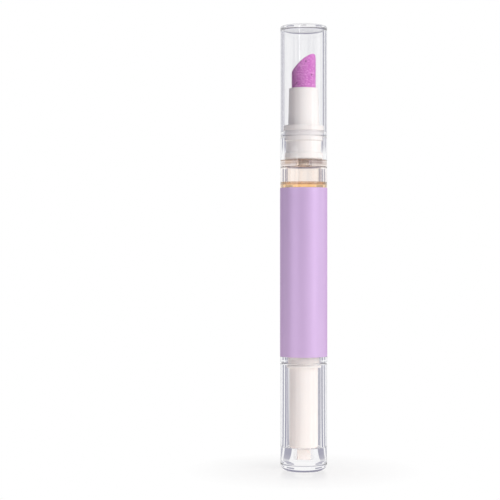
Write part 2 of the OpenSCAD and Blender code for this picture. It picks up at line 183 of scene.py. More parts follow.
class PenColours(PropertyGroup):
    """Colours of the pen's finishes."""

    clear: colour("Clear plastic", "Tint of the clear shells", "#F9F9FA")
    # Painted shade: where the clear shells turn away they are tinted towards this, far darker than
    # a long way through the wall would tint them.
    clear_rim_shade: colour("Clear rim shade", "The clear shells where they turn away", "#5E5C74")
    white: colour("White plastic", "The holder, the core and the guide", "#F9F6F3")
    lavender: colour("Sleeve", "The satin sleeve", "#CDB3DD")
    lavender_deep: colour("Sleeve shade", "Darker streaks of the sleeve", "#C8ADD9")
    # Painted shade with some of the pearl's flop: the sleeve is tinted towards this where it turns
    # away.
    lavender_rim_shade: colour("Sleeve rim shade", "The sleeve where it turns away", "#B88CCB")
    film_back: colour("Sleeve back", "Unprinted inner face of the sleeve", "#E6CFE6")
    foam: colour("Foam", "The foam's skin", "#CE74C6")
    foam_light: colour("Foam light", "Lighter flecks in the foam", "#EDA2E4")
    # Painted shade: the foam's pits and dimples are darkened towards this colour.
    foam_pore: colour("Foam pore shade", "The bottom of the foam's pores", "#84337D")
    oil: colour("Oil", "What ten millimetres of oil let through", "#EDBE76")
    # Painted glow: the oil gives off this light wherever it is, in place of light its faint haze
    # would scatter.
    oil_haze_glow: colour("Oil haze glow", "Light that the oil's faint haze sends on", "#E8F0F4")
    wetting: colour("Oil film", "Tint of the wall where oil has run", "#FEF1E6")
    # Oil in the joint, darkened with painted shade of the joint between the plug and the web.
    crept_oil_and_shade: colour("Crept oil and shade", "Oil in the joint under the plug", "#B3A29E")
    run_oil: colour("Run oil", "The same oil where it is fresher", "#E2C3A8")
    piston: colour("Piston", "The soft piston", "#DCD9E2")
    ring: colour("Click ring", "The click ring", "#C9C5CC")
    rod: colour("Rod", "The screw rod", "#E4DDD2")


class StageSettings(PropertyGroup):
    """Camera, light and floor around the pen."""

    camera_away: length("Camera distance", "From the pen's axis back to the camera", 430)
    camera_side: length("Camera offset", "How far left of the pen the camera stands", 16.2)
    camera_height: length("Camera height", "Height of the camera above the floor", 67.9)
    lens: FloatProperty(name="Lens", description="Focal length in millimetres", default=102.6,
                        min=20, max=300)
    key_power: FloatProperty(name="Key power", description="Soft lamp on the right, in watts",
                             default=4.7, min=0)
    side_power: FloatProperty(name="Side power", description="Gloss lamp on the right, in watts",
                              default=0.27, min=0)
    band_power: FloatProperty(name="Band power", description="Gloss lamp for the cap's right, in "
                              "watts", default=0.06, min=0)
    strip_power: FloatProperty(name="Strip power", description="Gloss lamp on the left, in watts",
                               default=0.42, min=0)
    spark_power: FloatProperty(name="Spark power", description="Gloss lamp for the cap's left, in "
                               "watts", default=0.03, min=0)
    fill: FloatProperty(name="Fill", description="Strength of the even light from all around",
                        default=0.62, min=0)
    floor_white: FloatProperty(name="Floor white", description="Share of plain white in the floor "
                               "beside the pen", default=0.6, min=0, max=1)
    edge: colour("Card tone", "Dark cards that only the clear walls pick up", "#7E7D97")
    room: colour("Room tone", "What gloss picks up on the camera's side", "#A9A6AE")
    shade: colour("Shade tone", "Even light from the left", "#5A5072")
    light: colour("Light tone", "Even light from the right", "#FFF9F4")


def add(tree, kind, inputs=None, **settings):
    """Adds one node. Inputs maps a socket to a value, or to the output that feeds it."""
    made = tree.nodes.new(kind)
    for key, value in settings.items():
        setattr(made, key, value)
    for key, value in (inputs or {}).items():
        if isinstance(value, bpy.types.NodeSocket):
            tree.links.new(value, made.inputs[key])
        else:
            made.inputs[key].default_value = value
    return made


def new_material(name):
    """An empty material with its node tree."""
    made = bpy.data.materials.new(name)
    made.use_nodes = True
    made.node_tree.nodes.clear()
    return made, made.node_tree


def scale_of(millimetres):
    """The texture scale whose pattern repeats about once in a real size."""
    return 1 / (millimetres * MM)


def speckle(tree, millimetres, detail=2.0, stretch=(1, 1, 1)):
    """Noise of a real size in the pen's own space."""
    place = add(tree, "ShaderNodeTexCoord")
    mapped = add(tree, "ShaderNodeMapping", {"Vector": place.outputs["Object"], "Scale": stretch})
    return add(tree, "ShaderNodeTexNoise", {
        "Vector": mapped.outputs["Vector"], "Scale": scale_of(millimetres), "Detail": detail,
    }).outputs["Fac"]


def between(tree, factor, low, high, start=0.3, end=0.7):
    """A number that goes from low to high as a pattern does."""
    return add(tree, "ShaderNodeMapRange", {
        "Value": factor, "From Min": start, "From Max": end, "To Min": low, "To Max": high,
    }).outputs["Result"]


def times(tree, first, second):
    """Two numbers multiplied."""
    return add(tree, "ShaderNodeMath", {0: first, 1: second}, operation="MULTIPLY").outputs[0]


def within(tree, value, comes_in, full, fades, gone):
    """One inside a span and none outside it, with soft edges."""
    return times(tree, between(tree, value, 0.0, 1.0, comes_in, full),
                 between(tree, value, 1.0, 0.0, fades, gone))


def blended(tree, factor, first, second):
    """A colour between two, by a pattern."""
    made = add(tree, "ShaderNodeMix", data_type="RGBA")
    for index, value in ((0, factor), (6, first), (7, second)):
        if isinstance(value, bpy.types.NodeSocket):
            tree.links.new(value, made.inputs[index])
        else:
            made.inputs[index].default_value = value
    return made.outputs[2]


def raised(tree, height, micrometres, after=None):
    """A bump whose height is a real one."""
    inputs = {"Height": height, "Distance": micrometres * MM / 1000, "Strength": 1.0}
    if after is not None:
        inputs["Normal"] = after
    return add(tree, "ShaderNodeBump", inputs).outputs["Normal"]


def let_light_in(tree, surface, tint):
    """Lets lamps and soft light through a clear surface to what lies behind it."""
    path = add(tree, "ShaderNodeLightPath")
    seeks_light = add(tree, "ShaderNodeMath", {
        0: path.outputs["Is Shadow Ray"], 1: path.outputs["Is Diffuse Ray"]}, operation="MAXIMUM")
    through = add(tree, "ShaderNodeBsdfTransparent", {"Color": tint})
    return add(tree, "ShaderNodeMixShader", {
        0: seeks_light.outputs[0], 1: surface, 2: through.outputs[0]}).outputs[0]


def moulded_san(colours):
    """Styrene acrylonitrile, injection moulded and polished: glassy, with hair-thin flow waves
    and a trace of haze from handling, and painted grey-violet shade where it turns away, deeper
    than a long way through the wall would tint it."""
    made, tree = new_material("Moulded clear SAN")
    waves = speckle(tree, 3.5, 1.0, (1, 1, 0.35))
    handling = speckle(tree, 0.8, 3.0)
    # Where the wall turns away its tint goes towards a painted grey-violet shade, which draws the
    # shells' dark edges.
    turned_away = add(tree, "ShaderNodeLayerWeight", {"Blend": 0.5}).outputs["Facing"]
    rim_tint_and_shade = between(tree, turned_away, 0.0, 0.85, 0.66, 0.95)
    clear = add(tree, "ShaderNodeBsdfPrincipled", {
        "Base Color": blended(tree, rim_tint_and_shade, colours.clear, colours.clear_rim_shade),
        "Transmission Weight": 1.0, "IOR": 1.52,
        "Roughness": between(tree, handling, 0.0, 0.015, 0.5, 0.75),
        "Normal": raised(tree, waves, 0.4),
    })
    surface = let_light_in(tree, clear.outputs[0], linear("#FAFAFB"))
    add(tree, "ShaderNodeOutputMaterial", {"Surface": surface})
    return made


def moulded_polypropylene(colours):
    """Polypropylene, injection moulded: warm white, semi-gloss and slightly waxy, because some
    light goes in under its skin."""
    made, tree = new_material("Moulded white polypropylene")
    flow = speckle(tree, 2.5, 2.0, (1, 1, 0.3))
    grain = speckle(tree, 0.12, 2.0)
    surface = add(tree, "ShaderNodeBsdfPrincipled", {
        "Base Color": blended(tree, flow, colours.white, linear("#F7F3EF")),
        "Roughness": between(tree, grain, 0.3, 0.42), "IOR": 1.49,
        "Subsurface Weight": 0.15, "Subsurface Scale": 0.6 * MM,
        "Subsurface Radius": (1.0, 0.85, 0.8), "Normal": raised(tree, grain, 2),
    })
    add(tree, "ShaderNodeOutputMaterial", {"Surface": surface.outputs[0]})
    return made


def oil_wetted_plastic(colours, web_low, web_high):
    """The same clear plastic where oil has run down it: a warm cast and faint runs, and browner
    around the web, over which oil stands in the joint, darkened with painted shade of that joint."""
    made, tree = new_material("Clear SAN wetted by oil")
    runs = speckle(tree, 2.2, 2.0, (1, 1, 0.25))
    place = add(tree, "ShaderNodeTexCoord").outputs["Object"]
    parts = add(tree, "ShaderNodeSeparateXYZ", {0: place}).outputs
    edge = 0.15 * MM
    around_web = within(tree, parts[2], web_low, web_low + edge, web_high - edge, web_high)
    turned_away = add(tree, "ShaderNodeLayerWeight", {"Blend": 0.5}).outputs["Facing"]
    around_web = times(tree, around_web, between(tree, turned_away, 1.0, 0.0, 0.36, 0.46))
    # The band's colour is oil with painted shade of the joint, lighter towards the left.
    crept = blended(tree, between(tree, parts[0], 0.0, 1.0, -5 * MM, -2 * MM), colours.run_oil,
                    colours.crept_oil_and_shade)
    tone = blended(tree, runs, colours.wetting, colours.clear)
    clear = add(tree, "ShaderNodeBsdfPrincipled", {
        "Base Color": blended(tree, around_web, tone, crept),
        "Transmission Weight": 1.0, "IOR": 1.52, "Roughness": between(tree, runs, 0.0, 0.015),
        "Normal": raised(tree, runs, 1),
    })
    surface = let_light_in(tree, clear.outputs[0], linear("#FAF6F0"))
    add(tree, "ShaderNodeOutputMaterial", {"Surface": surface})
    return made


def oil_and_shade_in_joint(colours):
    """A thin brown film of old oil between the plug's end and the web, darkened with painted shade
    of that joint.
    """
    made, tree = new_material("Oil film and shade in the joint")
    pooled = speckle(tree, 1.5, 2.0)
    surface = add(tree, "ShaderNodeBsdfPrincipled", {
        "Base Color": blended(tree, pooled, colours.crept_oil_and_shade, colours.run_oil),
        "Roughness": between(tree, pooled, 0.2, 0.35), "IOR": 1.47})
    add(tree, "ShaderNodeOutputMaterial", {"Surface": surface.outputs[0]})
    return made


def satin_shrink_film(colours):
    """PET film with a pearl print, shrunk on: lavender, half mirror-like but soft-edged, deeper
    where it turns away, partly the pearl's flop and partly painted shade, with the slight orange
    peel of a shrunk skin."""
    made, tree = new_material("Pearl lavender PET film")
    streaks = speckle(tree, 1.6, 2.0, (1, 1, 0.08))
    peel = speckle(tree, 0.5, 2.0)
    turned_away = add(tree, "ShaderNodeLayerWeight", {"Blend": 0.5}).outputs["Facing"]
    # Where the film turns away its colour goes towards the rim colour: partly the pearl's flop,
    # partly painted shade at the edges.
    rim = between(tree, turned_away, 0.0, 1.0, 0.42, 0.95)
    pearl = blended(tree, streaks, colours.lavender, colours.lavender_deep)
    surface = add(tree, "ShaderNodeBsdfPrincipled", {
        "Base Color": blended(tree, rim, pearl, colours.lavender_rim_shade), "Metallic": 0.35,
        "Roughness": between(tree, peel, 0.36, 0.44), "IOR": 1.5,
        "Normal": raised(tree, peel, 1.5),
    })
    add(tree, "ShaderNodeOutputMaterial", {"Surface": surface.outputs[0]})
    return made


def film_back(colours):
    """The film's unprinted inner face: pale and matte, and thin enough for light to come
    through it from outside."""
    made, tree = new_material("Back of the PET film")
    grain = speckle(tree, 0.4, 2.0)
    surface = add(tree, "ShaderNodeBsdfPrincipled", {
        "Base Color": blended(tree, grain, colours.film_back, colours.lavender),
        "Roughness": between(tree, grain, 0.55, 0.7), "Subsurface Weight": 1.0,
        "Subsurface Scale": 2 * MM, "Subsurface Radius": (1.0, 0.9, 1.0),
    })
    add(tree, "ShaderNodeOutputMaterial", {"Surface": surface.outputs[0]})
    return made


def cut_polyurethane_foam(colours):
    """Fine polyurethane foam, cut and ground: matte and velvety, with painted shade down in its
    pores and dimples, and lighter flecks where cell walls stand up."""
    made, tree = new_material("Cut magenta polyurethane foam")
    # The pore attribute holds painted shade for the pits and dimples, which darkens the skin.
    pore = add(tree, "ShaderNodeAttribute", attribute_name="pore").outputs["Fac"]
    fleck = between(tree, speckle(tree, 0.6, 3.0, (1, 1, 2)), 0.0, 1.0, 0.5, 0.66)
    skin = blended(tree, fleck, colours.foam, colours.foam_light)
    surface = add(tree, "ShaderNodeBsdfPrincipled", {
        "Base Color": blended(tree, pore, skin, colours.foam_pore),
        "Roughness": between(tree, fleck, 0.95, 0.8),
        "Sheen Weight": 0.25, "Sheen Roughness": 0.4, "Sheen Tint": linear("#F3C6EE"),
        "Subsurface Weight": 0.2, "Subsurface Scale": 0.5 * MM,
        "Subsurface Radius": (1.0, 0.5, 0.9), "Normal": raised(tree, speckle(tree, 0.1, 2.0), 12),
    })
    add(tree, "ShaderNodeOutputMaterial", {"Surface": surface.outputs[0]})
    return made


def refined_oil(colours):
    """Apricot and almond oil, clear and golden: it bends light like the wall that it wets, its
    colour deepens with the way through it, and a painted glow, in place of light its faint haze
    would scatter, keeps long ways from going black."""
    made, tree = new_material("Golden nail oil")
    clear = add(tree, "ShaderNodeBsdfPrincipled", {
        "Base Color": (1, 1, 1, 1), "Transmission Weight": 1.0, "IOR": 1.47,
        "Roughness": between(tree, speckle(tree, 2.0), 0.0, 0.01),
    })
    depth = 10 * MM
    strength = 1 / depth * -math.log(min(colours.oil[:3]))
    tint = [1 + math.log(v) / depth / strength for v in colours.oil[:3]]
    absorbed = add(tree, "ShaderNodeVolumeAbsorption", {"Color": (*tint, 1), "Density": strength})
    # A painted glow, standing in for light the oil's haze would scatter from the lamps.
    glow = add(tree, "ShaderNodeEmission", {"Color": colours.oil_haze_glow, "Strength": 0.26 / depth})
    volume = add(tree, "ShaderNodeAddShader", {0: absorbed.outputs[0], 1: glow.outputs[0]})
    surface = let_light_in(tree, clear.outputs[0], (1, 1, 1, 1))
    add(tree, "ShaderNodeOutputMaterial", {"Surface": surface, "Volume": volume.outputs[0]})
    return made


def moulded_inner(name, tone, roughness, grain_mm, waxy):
    """A hidden piece's moulded plastic: an even tone, flow marks and a fine tool grain."""
    made, tree = new_material(name)
    grain = speckle(tree, grain_mm, 2.0)
    flow = speckle(tree, 1.8, 2.0, (1, 1, 0.3))
    darker = tuple(0.9 * v for v in tone[:3]) + (1,)
    surface = add(tree, "ShaderNodeBsdfPrincipled", {
        "Base Color": blended(tree, flow, tuple(tone), darker),
        "Roughness": between(tree, grain, roughness, roughness + 0.12),
        "Subsurface Weight": waxy, "Subsurface Scale": 0.5 * MM,
        "Normal": raised(tree, grain, 3),
    })
    add(tree, "ShaderNodeOutputMaterial", {"Surface": surface.outputs[0]})
    return made


def corner_arc(before, corner, after, fillet):
    """Points that round one corner of an outline, on an arc between its two edges."""
    back, on = before - corner, after - corner
    half = back.angle(on, math.pi) / 2
    if fillet <= 0 or half > math.radians(88):
        return [corner]
    most = 0.49 * min(back.length, on.length)
    reach = min(fillet / math.tan(half), most)
    radius = reach * math.tan(half)
    back.normalize()
    on.normalize()
    centre = corner + (back + on).normalized() * radius / math.sin(half)
    start, end = corner + back * reach - centre, corner + on * reach - centre
    steps = 3 + round(radius / (0.3 * MM))
    return [centre + start.lerp(end, i / steps).normalized() * radius for i in range(steps + 1)]


def outline(*corners):
    """A closed outline of (radius, height) points from corners of (radius, height, fillet)."""
    spots = [Vector(c[:2]) for c in corners]
    points = []
    for i, c in enumerate(corners):
        fillet = c[2] if len(c) > 2 else 0
        points += corner_arc(spots[i - 1], spots[i], spots[(i + 1) % len(spots)], fillet)
    return points


def join_rings(mesh, lower, upper):
    """Faces between two rings of vertices, either of which may be a single one on the axis."""
    count = max(len(lower), len(upper))
    for k in range(count if len(lower) + len(upper) > 2 else 0):
        n = (k + 1) % count
        if len(lower) == 1:
            mesh.faces.new((lower[0], upper[k], upper[n]))
        elif len(upper) == 1:
            mesh.faces.new((lower[n], lower[k], upper[0]))
        else:
            mesh.faces.new((lower[k], upper[k], upper[n], lower[n]))


def turned(points, segments, reshape=None):
    """A mesh turned from an outline about the pen's axis. Reshape may change a point's radius
    from its radius, height and angle."""
    mesh = bmesh.new()
    rings = []
    for radius, height in points:
        if radius < MM / 1000:
            rings.append([mesh.verts.new((0, 0, height))])
            continue
        ring = []
        for k in range(segments):
            angle = TURN * k / segments
            r = reshape(radius, height, angle) if reshape else radius
            ring.append(mesh.verts.new((r * math.cos(angle), r * math.sin(angle), height)))
        rings.append(ring)
    for lower, upper in zip(rings, rings[1:] + rings[:1]):
        join_rings(mesh, lower, upper)
    return mesh


def made_piece(name, mesh, *materials):
    """An object from a mesh, smooth but for its sharp edges, with walls that shade evenly."""
    bmesh.ops.recalc_face_normals(mesh, faces=mesh.faces)
    for face in mesh.faces:
        face.smooth = True
    data = bpy.data.meshes.new(name)
    mesh.to_mesh(data)
    mesh.free()
    data.set_sharp_from_angle(angle=SHARP_ANGLE)
    for material in materials:
        data.materials.append(material)
    piece = bpy.data.objects.new(name, data)
    bpy.context.scene.collection.objects.link(piece)
    even = piece.modifiers.new("Even shading", "WEIGHTED_NORMAL")
    even.keep_sharp = True
    return piece


def stand_for(piece, node, body):
    """Lets a piece stand for a solid of the frame and move with its body."""
    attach(piece, body)
    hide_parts(node)


def barrel_outline(s):
    """Outer and inner outline of the clear barrel, from its foot to its thin neck."""
    foot, mouth = low_and_high("barrel")
    ring_top = foot + s.foot_ring_h
    panel_top = low_and_high("colour_sleeve")[1]
    shoulder = mouth - s.neck_len
    socket = mouth - s.socket_depth
    roof = socket - s.web_t
    bead_low, bead_high = mouth - 0.6 * MM, mouth - 0.1 * MM
    ring_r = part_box("barrel")[1].x
    panel_r = s.body_r - s.panel_sink
    bore = s.body_r - s.barrel_wall
    socket_r = s.neck_r - s.neck_wall
    fine = 0.06 * MM
    return outline(
        (bore, foot, 0.2 * MM), (ring_r, foot, s.edge_round), (ring_r, ring_top, fine),
        (panel_r, ring_top), (panel_r, panel_top), (s.body_r, panel_top, fine),
        (s.body_r, socket + 0.1 * MM), (s.body_r, shoulder, 0.2 * MM), (s.neck_r, shoulder, fine),
        (s.neck_r, bead_low, fine), (s.neck_r + s.neck_bead, bead_low + s.neck_bead, fine),
        (s.neck_r + s.neck_bead, bead_high - fine, fine), (s.neck_r, bead_high, fine),
        (s.neck_r, mouth, fine), (socket_r, mouth, fine),
        (socket_r, socket, 0.15 * MM), (s.web_hole_r, socket, 0.1 * MM),
        (s.web_hole_r, roof, 0.1 * MM), (bore - s.roof_w, roof, 0.25 * MM),
        (bore, roof - s.roof_h, 0.25 * MM), (bore, low_and_high("oil")[1]))


def knob_outline(s):
    """Outline of the clear knob: a thick rounded base, the bore and the key pocket under it."""
    base, mouth = low_and_high("knob")
    bore = s.body_r - s.knob_wall
    floor = base + s.knob_floor
    lead_in = 0.25 * MM
    fine = 0.05 * MM
    return outline(
        (0, base + s.gate_depth), (s.gate_r, base + s.gate_depth, fine), (s.gate_r, base, fine),
        (s.body_r, base, s.base_round), (s.body_r, mouth, s.edge_round),
        (bore + lead_in, mouth), (bore, mouth - lead_in, fine), (bore, floor, 0.3 * MM),
        (s.key_r, floor, fine),
        (s.key_r, floor - s.key_len, fine), (0, floor - s.key_len))


def cap_outline(s):
    """Outline of the clear cap: a rounded top, a shallow gate mark and a band at its mouth."""
    mouth, top = low_and_high("cap")
    bore = s.body_r - s.cap_wall
    ceiling = top - s.cap_top_t
    groove_low = mouth + s.cap_band_h
    groove_high = groove_low + 2 * s.cap_groove
    gate_r, gate_h = 0.5 * MM, 0.08 * MM
    fine = 0.04 * MM
    return outline(
        (0, top - gate_h), (gate_r, top - gate_h, fine), (gate_r + gate_h, top, fine),
        (s.body_r, top, s.cap_round), (s.body_r, groove_high, fine),
        (s.body_r - s.cap_groove, groove_high, fine), (s.body_r - s.cap_groove, groove_low, fine),
        (s.body_r, groove_low, fine), (s.body_r, mouth, 0.2 * MM), (bore, mouth, 0.15 * MM),
        (bore, ceiling, s.cap_ceiling_round), (0, ceiling))


def holder_outline(s):
    """Outline of the white tip holder: nozzle, plug with its bead and land, flange and tube."""
    nozzle_foot, tube_top = low_and_high("tip_holder")
    foam_foot = low_and_high("foam_tip")[0]
    mouth = low_and_high("barrel")[1]
    plug_foot = mouth - s.socket_depth + 0.2 * MM
    flange_top = mouth + s.flange_h
    plug_r = s.neck_r - s.neck_wall - GAP
    waist_r = plug_r - 0.45 * MM
    core_r = waist_r - 1.2 * MM
    nozzle_r = s.web_hole_r - 0.07 * MM
    feed_r = 0.7 * MM
    bead_top, land_foot = plug_foot + 1.8 * MM, mouth - 2.9 * MM
    lead_in = 0.3 * MM
    flange_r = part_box("tip_holder")[1].x
    tube_in = s.foam_r + GAP
    tube_r = tube_in + s.tube_wall
    fine = 0.08 * MM
    return outline(
        (feed_r, nozzle_foot, fine), (nozzle_r, nozzle_foot, 0.2 * MM),
        (nozzle_r, foam_foot - 1.2 * MM, fine), (core_r, foam_foot - 1.2 * MM, fine),
        (core_r, plug_foot, fine), (plug_r - lead_in, plug_foot, fine),
        (plug_r, plug_foot + lead_in, fine), (plug_r, bead_top, fine),
        (waist_r, bead_top + lead_in, fine), (waist_r, land_foot - lead_in, fine),
        (plug_r, land_foot, fine), (plug_r, mouth + GAP, GAP),
        (flange_r, mouth + GAP, 0.12 * MM), (flange_r, flange_top, 0.25 * MM),
        (tube_r + s.tube_taper, flange_top, 0.3 * MM), (tube_r, tube_top, 0.3 * MM),
        (tube_in, tube_top, 0.12 * MM), (tube_in, foam_foot - GAP, fine),
        (feed_r, foam_foot - GAP, fine))


def sleeve_outline(s):
    """Thin closed outline of the sleeve, with edges that aren't quite square."""
    foot, top = low_and_high("colour_sleeve")
    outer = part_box("colour_sleeve")[1].x
    inner = s.body_r - s.panel_sink + GAP
    fine = 0.04 * MM
    return outline((inner, foot), (outer, foot, fine), (outer, top, fine), (inner, top))


def oil_outline(s):
    """Outline of the oil, from the piston's sloped crown to the curl at the wall."""
    top = low_and_high("oil")[1]
    crown = low_and_high("piston")[1] + GAP
    radius = s.body_r - s.barrel_wall + s.oil_overlap
    width = s.meniscus_w
    level = top - s.meniscus_h
    shares = [i / MENISCUS_STEPS for i in range(MENISCUS_STEPS + 1)]
    rise = [(radius - width * (1 - share), level + s.meniscus_h * (1 - math.sqrt(1 - share ** 2)))
            for share in shares]
    points = [(0, crown), (radius - s.crown_w, crown), (radius, crown - s.crown_h)]
    return [Vector(p) for p in points + list(reversed(rise)) + [(0, level)]]


class FoamShape:
    """The foam's slanted, crowned top and the pits of its cut surface."""

    DIMPLE_DEPTH, PORE_DEPTH, SWELL_HEIGHT = 0.035 * MM, 0.16 * MM, 0.03 * MM
    SWELL_WIDTH = 1.3 * MM
    # A pore's cell is this many of its radii wide, and only some cells are open.
    PORE_SPACING = 4.5

    def __init__(self, s):
        self.low, self.high = low_and_high("foam_tip")
        self.mouth = low_and_high("tip_holder")[1]
        self.radius, self.rim = s.foam_r, s.foam_rim
        self.cell, self.pore = s.foam_cell, s.foam_pore
        self.heel = self.mouth + 5.0 * MM
        self.point_x = 0.73 * s.foam_r
        self.bulge = 0.155

    def top(self, x):
        """Height of the slanted face over a place along X."""
        if x > self.point_x:
            share = min((x - self.point_x) / (self.radius - self.point_x), 1)
            return self.high - 1.0 * MM * (1 - math.sqrt(1 - share * share))
        t = (x + self.radius) / (self.radius + self.point_x)
        return self.heel + (self.high - self.heel) * (t + 4 * self.bulge * t * (1 - t))

    def pit(self, place):
        """How deep the cut surface lies at a place, and how much painted shade its pits get there.
        """
        cell = noise.voronoi(place / self.cell)[0][0]
        dimple = max(0.0, 1 - cell / 0.55)
        distances, centres = noise.voronoi(place / (self.PORE_SPACING * self.pore))
        # The factor only sets which of the cells are open.
        open_here = noise.cell(centres[0] * 7.3) > 0
        depth = max(0.0, 1 - distances[0] * self.PORE_SPACING) if open_here else 0.0
        swell = noise.noise(place / self.SWELL_WIDTH)
        sunk = (self.DIMPLE_DEPTH * dimple + self.PORE_DEPTH * math.sqrt(depth)
                + self.SWELL_HEIGHT * (swell + 1))
        # The second value is painted shade for the pits: a little in the dimples and more in the
        # open pores.
        return sunk, min(1.0, 0.3 * dimple + 2 * math.sqrt(depth))


def foam_mesh(s, shape):
    """Closed foam body: a plain foot in the holder and a finely pitted cut end."""
    around, up, across, curve = 240, 84, 38, 6
    mesh = bmesh.new()
    pore = mesh.verts.layers.float.new("pore")

    def ring(radius, height_at, pitted):
        made = []
        for k in range(around):
            angle = TURN * k / around
            out = Vector((math.cos(angle), math.sin(angle), 0))
            place = out * radius
            place.z = height_at(place.x, out.x)
            sunk, dark = shape.pit(place) if pitted else (0, 0)
            lie = radius / shape.radius
            inward = Vector((-out.x, -out.y, 0)) if lie > 0.98 else Vector((0, 0, -1))
            vert = mesh.verts.new(place + inward * sunk)
            # Each vertex keeps its pit's painted shade, which the foam's material reads.
            vert[pore] = dark
            made.append(vert)
        return made

    visible = shape.mouth - 0.3 * MM
    rings = [[mesh.verts.new((0, 0, shape.low))],
             ring(shape.radius - 0.2 * MM, lambda x, c: shape.low, False),
             ring(shape.radius, lambda x, c: shape.low + 0.2 * MM, False),
             ring(shape.radius, lambda x, c: visible, False)]
    for i in range(1, up + 1):
        t = i / up
        rings.append(ring(shape.radius, lambda x, c: visible + t * (
            shape.top(c * shape.radius) - shape.rim - visible), True))
    for i in range(1, curve + 1):
        turn = math.pi / 2 * i / curve
        radius = shape.radius - shape.rim * (1 - math.cos(turn))
        sink = shape.rim * (1 - math.sin(turn))
        rings.append(ring(radius, lambda x, c: shape.top(x) - sink, True))
    inner = shape.radius - shape.rim
    for i in range(1, across):
        rings.append(ring(inner * (1 - i / across), lambda x, c: shape.top(x), True))
    rings.append([mesh.verts.new((0, 0, shape.top(0)))])
    for lower, upper in zip(rings, rings[1:]):
        join_rings(mesh, lower, upper)
    return mesh


class NAILPEN_OT_stage(Operator):
    """Sets the camera, the pale floor, the white backdrop and the soft lamps"""

    bl_idname = "nail_pen.stage"
    bl_label = "Set the stage"

    def execute(self, context):
        settings = context.scene.nail_pen_stage
        place_camera(context.scene, settings)
        place_world(context.scene, settings)
        place_floor(context.scene, settings)
        place_lamps(context.scene, settings)
        context.scene.view_settings.view_transform = "Standard"
        # Light goes to and fro inside thick clear walls many times before it comes out.
        context.scene.cycles.max_bounces = 32
        context.scene.cycles.glossy_bounces = 32
        context.scene.cycles.transmission_bounces = 32
        return {"FINISHED"}


def place_camera(scene, settings):
    """The photograph's level view, a little to the left of the pen."""
    data = bpy.data.cameras.new("Camera")
    data.lens = settings.lens
    data.sensor_width = 36
    data.shift_y = -0.01
    data.clip_start = 10 * MM
    camera = bpy.data.objects.new("Camera", data)
    camera.location = (-settings.camera_side, -settings.camera_away, settings.camera_height)
    camera.rotation_euler = (math.pi / 2, 0, 0)
    scene.collection.objects.link(camera)
    scene.camera = camera


def path_is(tree, *kinds):
    """One where a ray is of one of these kinds, such as Camera or Glossy."""
    path = add(tree, "ShaderNodeLightPath").outputs
    found = path[f"Is {kinds[0]} Ray"]
    for kind in kinds[1:]:
        found = add(tree, "ShaderNodeMath", {0: found, 1: path[f"Is {kind} Ray"]},
                    operation="MAXIMUM").outputs[0]
    return found


def ring_of_cards(tree, way):
    """How dark it is behind the pen by the direction: white but for the cards on either side."""
    parts = add(tree, "ShaderNodeSeparateXYZ", {0: way}).outputs
    side, depth = (add(tree, "ShaderNodeMath", {0: parts[i]}, operation="ABSOLUTE").outputs[0]
                   for i in (0, 1))
    turn = add(tree, "ShaderNodeMath", {0: side, 1: depth}, operation="ARCTAN2").outputs[0]
    near, wide = (times(tree, share, within(
        tree, turn, *map(math.radians, (start - 1, start, end, end + 1))))
        for start, end, share in CARDS)
    return add(tree, "ShaderNodeMath", {0: near, 1: wide}).outputs[0]


def place_world(scene, settings):
    """White for the eye and for clear pieces, but for the cards and a dark ceiling; a greyer room
    for gloss; and soft light from all sides, weaker and cooler from the left."""
    world = bpy.data.worlds.new("Pale studio")
    world.use_nodes = True
    tree = world.node_tree
    tree.nodes.clear()
    way = add(tree, "ShaderNodeTexCoord").outputs["Generated"]
    parts = add(tree, "ShaderNodeSeparateXYZ", {0: way}).outputs
    heights = add(tree, "ShaderNodeMath", {
        0: within(tree, parts[2], *CHAMBER_SPAN), 1: within(tree, parts[2], *CAP_SPAN)})
    ring = times(tree, ring_of_cards(tree, way), heights.outputs[0])
    ceiling = between(tree, parts[2], 0.0, 1.0, *CEILING_RISE)
    dark = add(tree, "ShaderNodeMath", {0: ring, 1: ceiling}, operation="MAXIMUM")
    cards = blended(tree, dark.outputs[0], (1, 1, 1, 1), settings.edge)
    room = blended(tree, between(tree, parts[1], 0.0, 1.0, -0.5, 0.3), settings.room, (1, 1, 1, 1))
    mirrored = blended(tree, path_is(tree, "Glossy"), (1, 1, 1, 1), room)
    seen = blended(tree, path_is(tree, "Transmission"), mirrored, cards)
    backdrop = add(tree, "ShaderNodeBackground", {"Color": seen, "Strength": 1.0})
    side = between(tree, parts[0], 0.0, 1.0, -1.0, 1.0)
    even = add(tree, "ShaderNodeBackground", {
        "Color": blended(tree, side, settings.shade, settings.light), "Strength": settings.fill})
    mixed = add(tree, "ShaderNodeMixShader", {
        0: path_is(tree, "Camera", "Glossy", "Transmission"), 1: even.outputs[0],
        2: backdrop.outputs[0]})
    add(tree, "ShaderNodeOutputWorld", {"Surface": mixed.outputs[0]})
    scene.world = world


